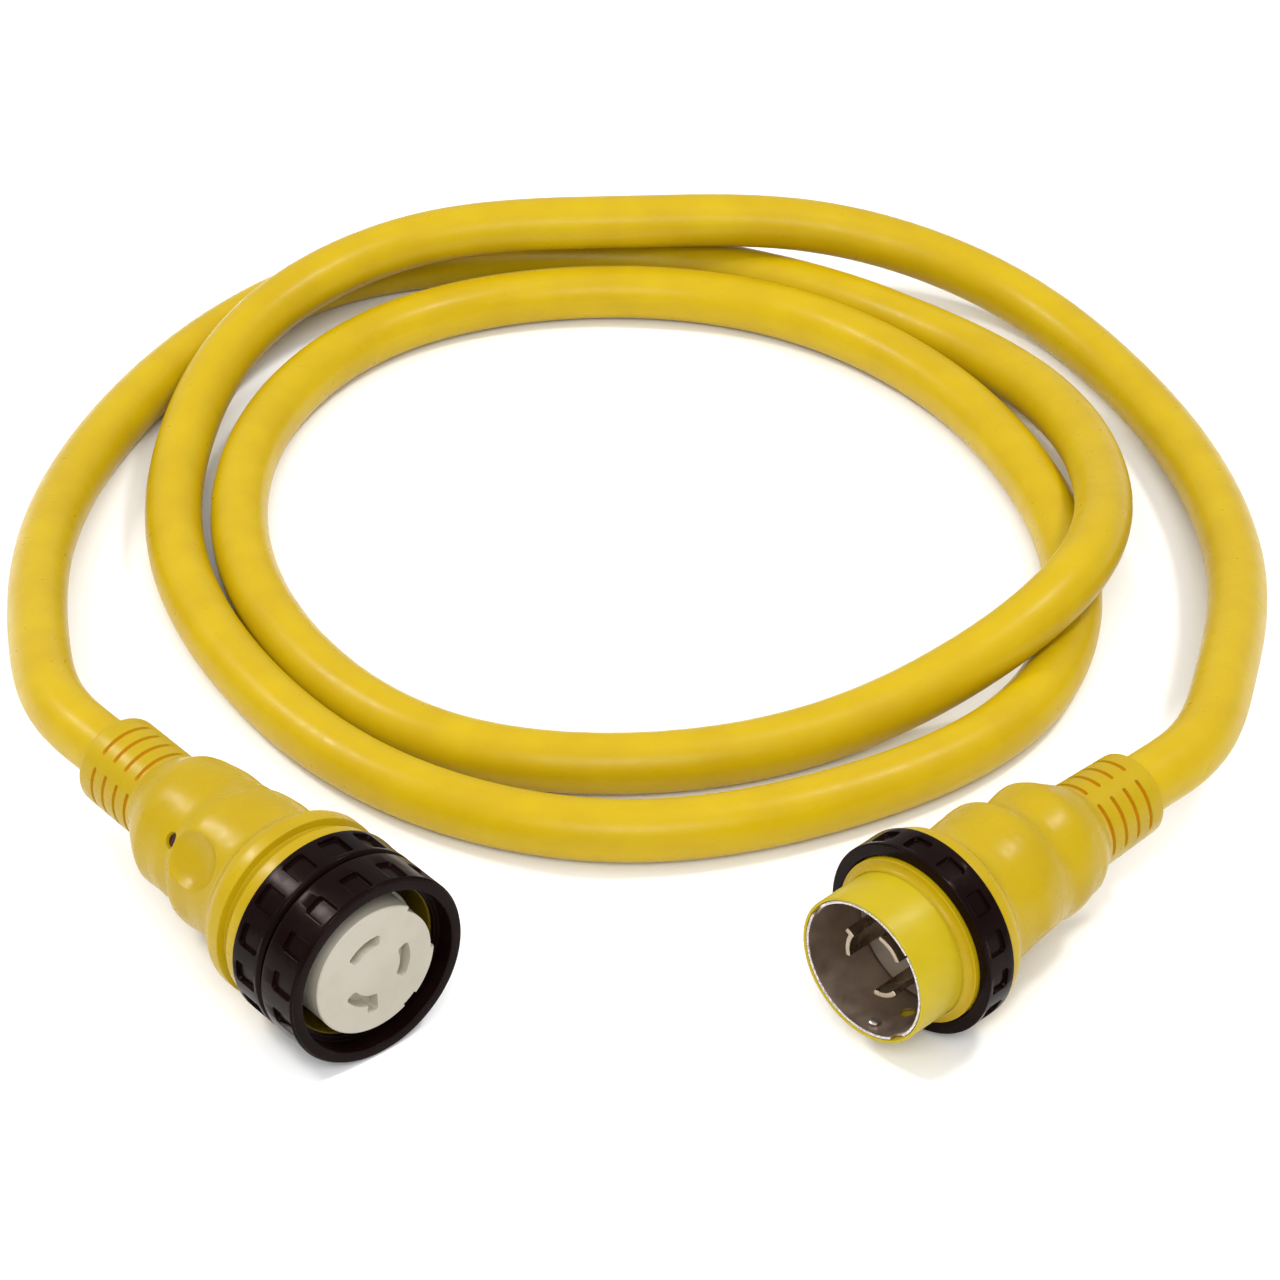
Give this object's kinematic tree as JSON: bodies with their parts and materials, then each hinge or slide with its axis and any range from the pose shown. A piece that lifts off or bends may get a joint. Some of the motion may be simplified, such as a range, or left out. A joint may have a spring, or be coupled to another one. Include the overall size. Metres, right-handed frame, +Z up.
{
  "type": "shore power cord",
  "caption": "Yellow shore power cord with a locking female connector and sealing collar, a locking male plug in a metal shell, and a long cable coiled between them.",
  "frame": {"origin": "under the middle of the connector and the plug, on the floor that the cord lies on", "axes": "+Z up; the two fittings lie side by side along X, connector on -X and plug on +X, mouths toward -Y, and the coiled cable lies behind them toward +Y"},
  "size_m": [0.5335, 0.609, 0.0784],
  "materials": {
    "cable_jacket": "smooth yellow PVC, semi-matt",
    "yellow_overmould": "smooth yellow moulded rubber, semi-gloss",
    "yellow_sleeve": "yellow nylon, semi-gloss",
    "black_ring": "black nylon, semi-gloss",
    "ivory_insulator": "ivory moulded nylon, matt",
    "nickel": "nickel-plated, dull",
    "brass_contact": "bare brass",
    "black_rubber": "matt black rubber",
    "indicator_red": "dark red lens",
    "insulation_black": "black insulation",
    "insulation_white": "white insulation",
    "insulation_green": "green insulation"
  },
  "bodies": {
    "cord": {"cable": "cable_jacket", "connector_boot": "yellow_overmould", "connector_neck": "yellow_overmould", "plug_boot": "yellow_overmould", "plug_sleeve": "yellow_sleeve", "connector_insert": "ivory_insulator", "plug_base": "ivory_insulator", "indicator_lamp": "ivory_insulator", "indicator_lens": "indicator_red", "plug_shell": "nickel", "shell_rivet": "nickel", "ground_clip": "nickel", "socket_gasket": "black_rubber", "plug_blade_line": "nickel", "connector_contact_line": "brass_contact", "connector_terminal_line": "brass_contact", "plug_terminal_line": "brass_contact", "connector_conductor_line": "insulation_black", "plug_conductor_line": "insulation_black", "plug_blade_neutral": "nickel", "connector_contact_neutral": "brass_contact", "connector_terminal_neutral": "brass_contact", "plug_terminal_neutral": "brass_contact", "connector_conductor_neutral": "insulation_white", "plug_conductor_neutral": "insulation_white", "plug_blade_ground": "nickel", "connector_contact_ground": "brass_contact", "connector_terminal_ground": "brass_contact", "plug_terminal_ground": "brass_contact", "connector_conductor_ground": "insulation_green", "plug_conductor_ground": "insulation_green"},
    "connector_ring": {"connector_lock_ring": "black_ring"},
    "collar": {"sealing_collar": "black_ring"},
    "plug_ring": {"plug_lock_ring": "black_ring"}
  },
  "joints": [
    {"name": "connector_ring_turn", "type": "hinge", "parent": "cord", "child": "connector_ring", "pos_m": [-0.10563, -0.03576, 0.0392], "axis": [0.6428, -0.766, 0], "continuous": true},
    {"name": "collar_turn", "type": "hinge", "parent": "cord", "child": "collar", "pos_m": [-0.09342, -0.05032, 0.0392], "axis": [0.6428, -0.766, 0], "continuous": true},
    {"name": "plug_ring_turn", "type": "hinge", "parent": "cord", "child": "plug_ring", "pos_m": [0.11259, -0.03463, 0.0393], "axis": [-0.7108, -0.7034, 0], "continuous": true}
  ]
}
